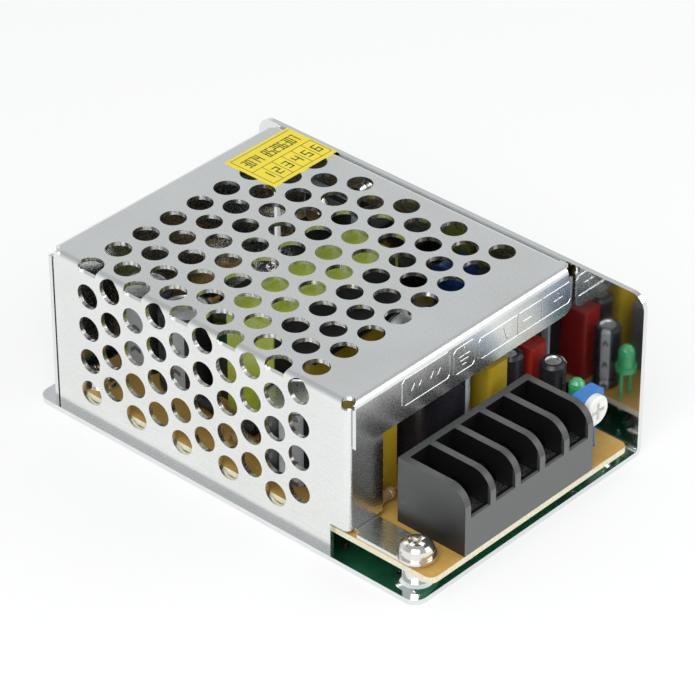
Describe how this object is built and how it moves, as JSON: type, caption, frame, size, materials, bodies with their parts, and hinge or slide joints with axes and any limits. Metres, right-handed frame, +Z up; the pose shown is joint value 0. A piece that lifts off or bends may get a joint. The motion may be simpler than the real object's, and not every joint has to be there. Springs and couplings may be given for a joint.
{
  "type": "switching power supply",
  "caption": "Enclosed mains power supply in a perforated folded sheet cover, with an open barrier terminal block at the front of its base chassis",
  "frame": {"origin": "centre of the bounding box's bottom face, on the underside of the base plate", "axes": "+Z up; +Y along the case, away from the terminals; +X toward the tall chassis wall on the right, seen from the terminals"},
  "size_m": [0.0592, 0.0914, 0.0331],
  "materials": {
    "chassis_aluminium": "mirror bright rolled sheet",
    "cover_steel": "bright plated sheet, fine grain along the case",
    "seal_film": "matt printed film",
    "screw_steel": "nickel plated",
    "thermal_pad": "matt silicone",
    "board_laminate": "tan phenolic laminate with green solder mask below",
    "block_plastic": "dark grey moulded plastic, satin",
    "contact_tin": "tin plated",
    "terminal_steel": "dull plated steel",
    "ferrite": "matt dark ferrite",
    "lime_tape": "polyester tape",
    "black_plastic": "moulded plastic",
    "copper_wire": "enamelled copper wire",
    "amber_tape": "polyester tape",
    "black_sleeve": "shrunk sleeve with a pale stripe, bare aluminium top",
    "yellow_case": "moulded box, satin",
    "red_case": "moulded box",
    "fuse_case": "moulded box",
    "green_disc": "coated disc",
    "choke_winding": "coated ring wound with enamelled wire",
    "black_epoxy": "moulded epoxy",
    "blue_ceramic": "coated disc",
    "resistor_body": "lacquered body with colour bands",
    "blue_plastic": "moulded plastic",
    "white_plastic": "moulded plastic",
    "green_lens": "tinted lens"
  },
  "bodies": {
    "case": {"base_chassis": "chassis_aluminium", "mesh_cover": "cover_steel", "seal_sticker": "seal_film", "board_screws": "screw_steel", "screw_washers": "screw_steel", "cover_screws": "screw_steel", "device_screws": "screw_steel", "device_nuts": "screw_steel", "insulating_pads": "thermal_pad", "circuit_board": "board_laminate", "terminal_block": "block_plastic", "terminal_contacts": "contact_tin", "transformer_core": "ferrite", "transformer_tape": "lime_tape", "transformer_bobbin": "black_plastic", "transformer_winding": "copper_wire", "winding_wrap": "amber_tape", "transformer_pins": "contact_tin", "striped_capacitor": "black_sleeve", "output_capacitors": "black_sleeve", "small_capacitor": "black_sleeve", "bulk_capacitors": "black_sleeve", "input_capacitor": "black_sleeve", "x_capacitor": "yellow_case", "slim_capacitor": "yellow_case", "red_capacitor": "red_case", "fuse": "fuse_case", "thermistor": "green_disc", "filter_choke": "choke_winding", "bridge_rectifier": "black_epoxy", "switch_transistor": "black_epoxy", "output_rectifier": "black_epoxy", "controller_chip": "black_epoxy", "optocoupler": "black_epoxy", "blue_capacitors": "blue_ceramic", "output_inductor": "ferrite", "lead_resistors": "resistor_body", "signal_diodes": "black_epoxy", "trimmer_body": "blue_plastic", "indicator_lamp": "green_lens"},
    "clamp_1": {"terminal_clamp_1": "terminal_steel"},
    "screw_1": {"terminal_screw_1": "terminal_steel"},
    "clamp_2": {"terminal_clamp_2": "terminal_steel"},
    "screw_2": {"terminal_screw_2": "terminal_steel"},
    "clamp_3": {"terminal_clamp_3": "terminal_steel"},
    "screw_3": {"terminal_screw_3": "terminal_steel"},
    "clamp_4": {"terminal_clamp_4": "terminal_steel"},
    "screw_4": {"terminal_screw_4": "terminal_steel"},
    "clamp_5": {"terminal_clamp_5": "terminal_steel"},
    "screw_5": {"terminal_screw_5": "terminal_steel"},
    "trimmer": {"trimmer_rotor": "white_plastic"}
  },
  "joints": [
    {"name": "clamp_lift_1", "type": "slide", "parent": "case", "child": "clamp_1", "axis": [0, 0, 1], "range_m": [0, 0.002]},
    {"name": "screw_turn_1", "type": "hinge", "parent": "clamp_1", "child": "screw_1", "pos_m": [-0.01524, -0.0387, 0.0135], "axis": [0, 0, 1], "range_deg": [0, 1440]},
    {"name": "clamp_lift_2", "type": "slide", "parent": "case", "child": "clamp_2", "axis": [0, 0, 1], "range_m": [0, 0.002]},
    {"name": "screw_turn_2", "type": "hinge", "parent": "clamp_2", "child": "screw_2", "pos_m": [-0.00889, -0.0387, 0.0135], "axis": [0, 0, 1], "range_deg": [0, 1440]},
    {"name": "clamp_lift_3", "type": "slide", "parent": "case", "child": "clamp_3", "axis": [0, 0, 1], "range_m": [0, 0.002]},
    {"name": "screw_turn_3", "type": "hinge", "parent": "clamp_3", "child": "screw_3", "pos_m": [-0.00253, -0.0387, 0.0135], "axis": [0, 0, 1], "range_deg": [0, 1440]},
    {"name": "clamp_lift_4", "type": "slide", "parent": "case", "child": "clamp_4", "axis": [0, 0, 1], "range_m": [0, 0.002]},
    {"name": "screw_turn_4", "type": "hinge", "parent": "clamp_4", "child": "screw_4", "pos_m": [0.00381, -0.0387, 0.0135], "axis": [0, 0, 1], "range_deg": [0, 1440]},
    {"name": "clamp_lift_5", "type": "slide", "parent": "case", "child": "clamp_5", "axis": [0, 0, 1], "range_m": [0, 0.002]},
    {"name": "screw_turn_5", "type": "hinge", "parent": "clamp_5", "child": "screw_5", "pos_m": [0.01017, -0.0387, 0.0135], "axis": [0, 0, 1], "range_deg": [0, 1440]},
    {"name": "trimmer_turn", "type": "hinge", "parent": "case", "child": "trimmer", "pos_m": [0.01764, -0.0423, 0.0149], "axis": [0, -1, 0], "range_deg": [0, 260]}
  ],
  "couplings": [
    {"joint": "screw_turn_1", "follows": "clamp_lift_1", "rad_per_m": 12560},
    {"joint": "screw_turn_2", "follows": "clamp_lift_2", "rad_per_m": 12560},
    {"joint": "screw_turn_3", "follows": "clamp_lift_3", "rad_per_m": 12560},
    {"joint": "screw_turn_4", "follows": "clamp_lift_4", "rad_per_m": 12560},
    {"joint": "screw_turn_5", "follows": "clamp_lift_5", "rad_per_m": 12560}
  ]
}
